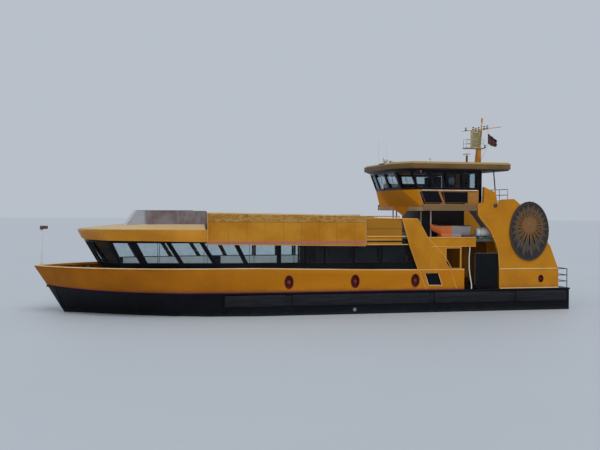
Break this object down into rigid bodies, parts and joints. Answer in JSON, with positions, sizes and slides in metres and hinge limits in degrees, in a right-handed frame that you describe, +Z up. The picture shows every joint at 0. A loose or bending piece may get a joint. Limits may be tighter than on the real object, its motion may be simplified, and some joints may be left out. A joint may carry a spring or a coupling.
{
  "type": "harbour passenger ferry",
  "caption": "Double-deck harbour passenger ferry with a glazed saloon, open upper deck, raised wheelhouse, side fins, boarding ramps, propellers and rudders",
  "frame": {"origin": "centreline amidships on the waterline", "axes": "+X towards the bow, +Y to port, +Z up"},
  "size_m": [29.812, 8.13, 12.8549],
  "materials": {
    "hull_paint": "satin black hull paint",
    "yellow_paint": "semi-gloss amber-yellow paint, weathered",
    "orange_paint": "semi-gloss darker amber paint",
    "pale_paint": "satin pale cream paint",
    "white_paint": "gloss white paint",
    "machine_grey": "satin grey paint",
    "frame_black": "gloss black window band",
    "deck_paint": "matt non-slip deck paint",
    "ramp_green": "matt green-black paint",
    "bright_steel": "brushed stainless steel",
    "fender_rubber": "matt weathered rubber",
    "window_glass": "clear glass, lightly tinted",
    "seat_brown": "matt dark seat shells",
    "medallion_board": "matt dark board with gold ornament",
    "flag_cloth": "woven bunting",
    "white_plastic": "gloss moulded plastic",
    "boat_orange": "gloss moulded hull, orange and grey",
    "propeller_bronze": "satin cast bronze"
  },
  "bodies": {
    "ferry": {"hull": "hull_paint", "topsides": "yellow_paint", "deck_edge_bar": "hull_paint", "fender_port": "fender_rubber", "fender_starboard": "fender_rubber", "saloon_window_frame": "frame_black", "saloon_glass": "window_glass", "foredeck": "deck_paint", "anchor_winch": "machine_grey", "foredeck_bitts": "hull_paint", "jackstaff": "white_paint", "saloon_floor": "seat_brown", "service_room_port": "machine_grey", "service_room_starboard": "machine_grey", "stairs": "bright_steel", "saloon_aft_wall": "orange_paint", "upper_deck": "deck_paint", "roof_band": "yellow_paint", "windscreen_glass": "window_glass", "windscreen_frame": "machine_grey", "rail_port": "yellow_paint", "rail_starboard": "yellow_paint", "side_board_port": "yellow_paint", "side_board_starboard": "yellow_paint", "deck_benches": "seat_brown", "leg_port": "yellow_paint", "leg_starboard": "yellow_paint", "fin_port": "yellow_paint", "medallion_port": "medallion_board", "fin_starboard": "yellow_paint", "medallion_starboard": "medallion_board", "aft_upper_deck": "deck_paint", "aft_deckhouse": "orange_paint", "stern_rail": "bright_steel", "bridge_deck": "pale_paint", "wheelhouse_wall": "orange_paint", "wheelhouse_window_frame": "frame_black", "wheelhouse_glass": "window_glass", "wheelhouse_roof": "yellow_paint", "helm": "machine_grey", "mast": "yellow_paint", "whip_antennas": "white_paint", "flag": "flag_cloth", "liferaft_port": "white_plastic", "liferaft_starboard": "white_plastic", "rescue_boat": "boat_orange", "engine_port": "machine_grey", "engine_starboard": "machine_grey"},
    "propeller_port": {"propeller_port": "propeller_bronze"},
    "propeller_starboard": {"propeller_starboard": "propeller_bronze"},
    "rudder_port": {"rudder_port": "hull_paint"},
    "rudder_starboard": {"rudder_starboard": "hull_paint"},
    "ramp_port": {"ramp_port": "ramp_green"},
    "ramp_starboard": {"ramp_starboard": "ramp_green"},
    "saloon_door": {"saloon_door": "bright_steel"},
    "wheelhouse_door": {"wheelhouse_door": "orange_paint"},
    "radar_scanner": {"radar_scanner": "white_paint"},
    "engine_hatch": {"engine_hatch": "deck_paint"},
    "foredeck_hatch": {"foredeck_hatch": "yellow_paint"}
  },
  "joints": [
    {"name": "propeller_port_turn", "type": "hinge", "parent": "ferry", "child": "propeller_port", "pos_m": [-13.3, 1.6, -1.1], "axis": [0.9976, 0, 0.0698], "continuous": true},
    {"name": "propeller_starboard_turn", "type": "hinge", "parent": "ferry", "child": "propeller_starboard", "pos_m": [-13.3, -1.6, -1.1], "axis": [0.9976, 0, 0.0698], "continuous": true},
    {"name": "rudder_port_steer", "type": "hinge", "parent": "ferry", "child": "rudder_port", "pos_m": [-14.15, 1.6, -1], "axis": [0, 0, 1], "range_deg": [-35, 35]},
    {"name": "rudder_starboard_steer", "type": "hinge", "parent": "ferry", "child": "rudder_starboard", "pos_m": [-14.15, -1.6, -1], "axis": [0, 0, 1], "range_deg": [-35, 35]},
    {"name": "ramp_port_lower", "type": "hinge", "parent": "ferry", "child": "ramp_port", "pos_m": [-9.72, 3.86, 1.315], "axis": [-1, 0, 0], "range_deg": [0, 90]},
    {"name": "ramp_starboard_lower", "type": "hinge", "parent": "ferry", "child": "ramp_starboard", "pos_m": [-9.72, -3.86, 1.315], "axis": [1, 0, 0], "range_deg": [0, 90]},
    {"name": "saloon_door_slide", "type": "slide", "parent": "ferry", "child": "saloon_door", "axis": [0, 1, 0], "range_m": [0, 1.4]},
    {"name": "wheelhouse_door_swing", "type": "hinge", "parent": "ferry", "child": "wheelhouse_door", "pos_m": [-9.32, 1.304, 6.8], "axis": [0, 0, -1], "range_deg": [0, 100]},
    {"name": "radar_turn", "type": "hinge", "parent": "ferry", "child": "radar_scanner", "pos_m": [-10.2, 0, 9], "axis": [0, 0, 1], "continuous": true},
    {"name": "engine_hatch_open", "type": "hinge", "parent": "ferry", "child": "engine_hatch", "pos_m": [-6.72, 0, 1.2663], "axis": [0, 1, 0], "range_deg": [0, 85]},
    {"name": "foredeck_hatch_open", "type": "hinge", "parent": "ferry", "child": "foredeck_hatch", "pos_m": [12.28, 0, 2.098], "axis": [0, -1, 0], "range_deg": [0, 90]}
  ],
  "couplings": [
    {"joint": "rudder_starboard_steer", "follows": "rudder_port_steer", "ratio": 1}
  ]
}
